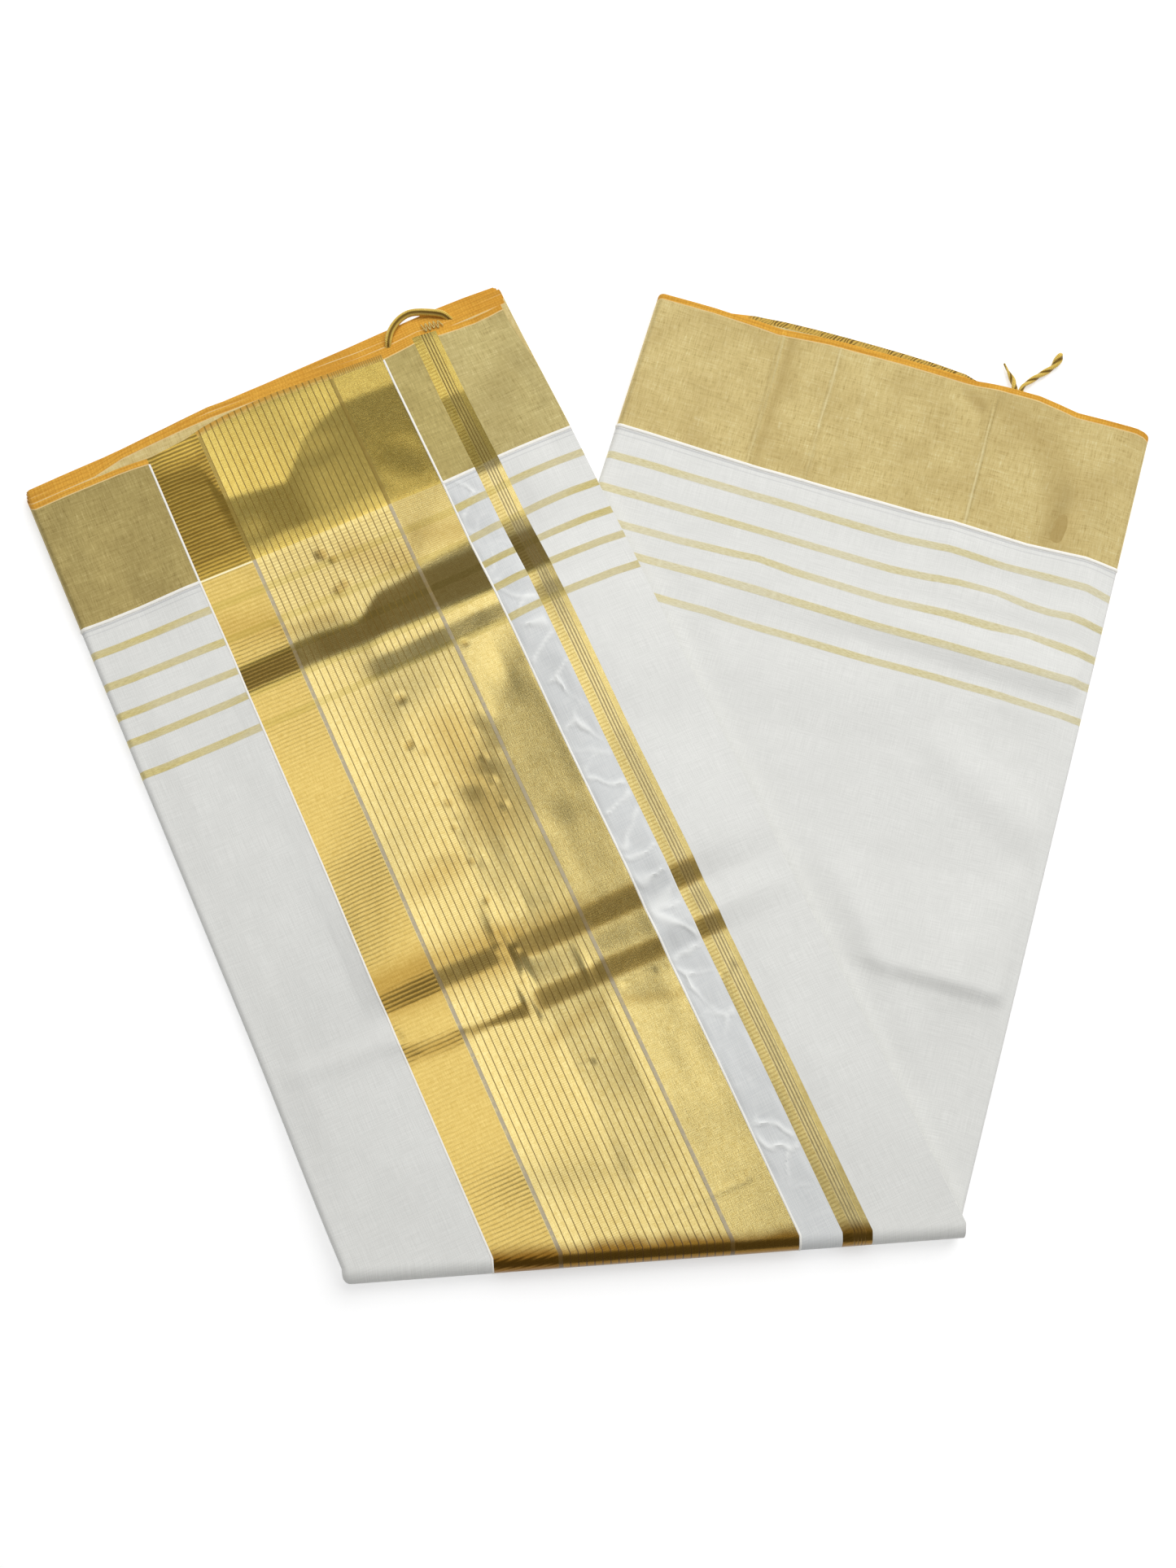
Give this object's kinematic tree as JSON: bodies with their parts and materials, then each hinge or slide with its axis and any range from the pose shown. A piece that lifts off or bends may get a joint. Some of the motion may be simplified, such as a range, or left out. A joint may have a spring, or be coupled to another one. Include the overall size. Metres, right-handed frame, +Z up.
{
  "type": "folded handloom saree",
  "caption": "White cotton saree folded flat as a V, with a gold tissue border, a gold end piece and loose zari threads.",
  "frame": {"origin": "on the surface that it lies on, under the middle of the folded cloth's box", "axes": "+X across the V from the upper leg to the under leg, +Y from the turned fold to the selvedge ends, +Z up"},
  "size_m": [0.7432, 0.638, 0.0245],
  "materials": {
    "cotton": "unbleached white handloom cotton, matt",
    "tissue": "tissue weave of cotton and gold thread, soft sheen",
    "zari_bright": "close gold zari, glossy like satin",
    "zari_ribbed": "gold zari in fine cross ribs",
    "selvedge": "orange cotton selvedge, matt",
    "zari_cord": "twisted gold thread"
  },
  "bodies": {
    "root": {"hidden_layers": "cotton", "upper_hidden_border": "tissue", "under_hidden_border": "tissue", "upper_hidden_selvedges": "selvedge", "under_hidden_selvedges": "selvedge", "upper_ground_left": "cotton", "upper_ground_crinkled": "cotton", "upper_ground_right": "cotton", "upper_border_left": "tissue", "upper_border_middle": "tissue", "upper_border_right": "tissue", "upper_selvedge_left": "selvedge", "upper_selvedge_middle": "selvedge", "upper_selvedge_right": "selvedge", "end_piece_ribbed_band": "zari_ribbed", "end_piece_pinstripes": "zari_bright", "end_piece_plain_band": "zari_bright", "end_piece_selvedge": "selvedge", "narrow_band": "zari_bright", "under_ground": "cotton", "under_border": "tissue", "under_selvedge": "selvedge", "zari_loop": "zari_cord", "zari_short_tail": "zari_cord", "zari_long_tail": "zari_cord"}
  },
  "joints": []
}
